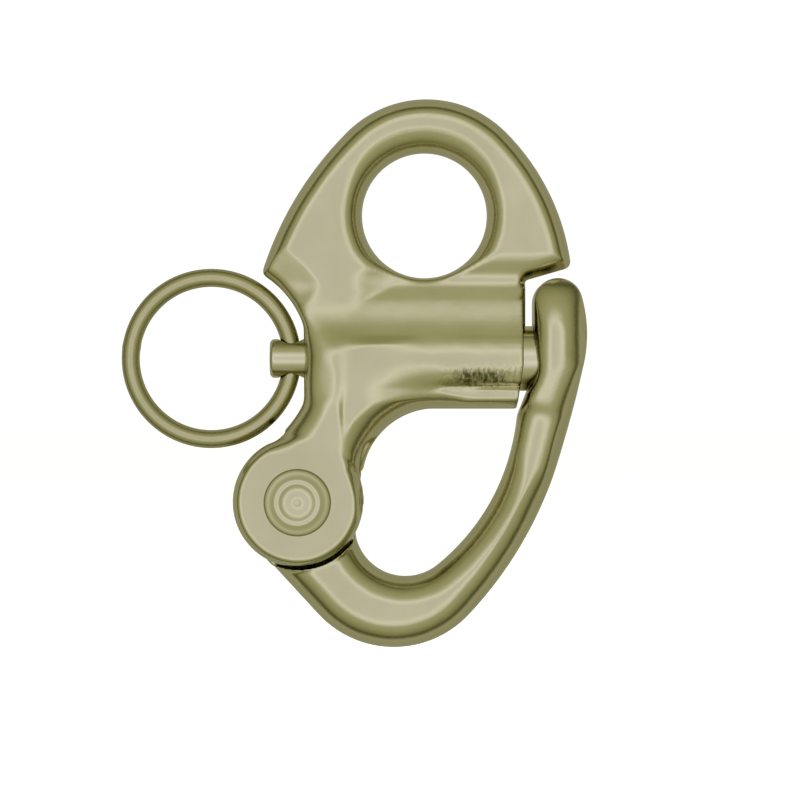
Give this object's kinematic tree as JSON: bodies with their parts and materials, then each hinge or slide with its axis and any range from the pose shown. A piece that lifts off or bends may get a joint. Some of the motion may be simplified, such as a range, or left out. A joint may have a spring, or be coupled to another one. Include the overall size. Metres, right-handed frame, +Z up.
{
  "type": "snap shackle",
  "caption": "Fixed-eye snap shackle: hinged jaw locked by a sprung plunger that a ring pulls back, in cast and turned steel.",
  "frame": {"origin": "centre of the eye, on the mid-plane of the shackle", "axes": "+Z up the load line from the jaw to the eye, +Y along the eye's and the hinge's axes towards the back, +X from the tail to the nose"},
  "size_m": [0.0596, 0.0146, 0.0703],
  "materials": {
    "cast_steel": "polished investment casting, satin, warm olive tint",
    "rivet_steel": "formed heads, satin",
    "turned_steel": "turned, fine lathe marks",
    "spring_wire": "drawn wire",
    "ring_wire": "drawn wire, satin"
  },
  "bodies": {
    "frame": {"body": "cast_steel", "hinge_rivet": "rivet_steel", "plunger_spring": "spring_wire"},
    "jaw": {"jaw": "cast_steel"},
    "plunger": {"plunger": "turned_steel"},
    "pull_ring": {"pull_ring": "ring_wire"}
  },
  "joints": [
    {"name": "jaw_hinge", "type": "hinge", "parent": "frame", "child": "jaw", "pos_m": [-0.0161, 0, -0.0366], "axis": [0, 1, 0], "range_deg": [0, 100]},
    {"name": "plunger_slide", "type": "slide", "parent": "frame", "child": "plunger", "axis": [-1, 0, 0], "range_m": [0, 0.0045], "stiffness_N_per_m": 1200, "springref_m": -0.004, "deforming": ["plunger_spring"]},
    {"name": "ring_swing", "type": "hinge", "parent": "plunger", "child": "pull_ring", "pos_m": [-0.01715, 0, -0.0183], "axis": [0, 0, 1], "range_deg": [-50, 50]}
  ]
}
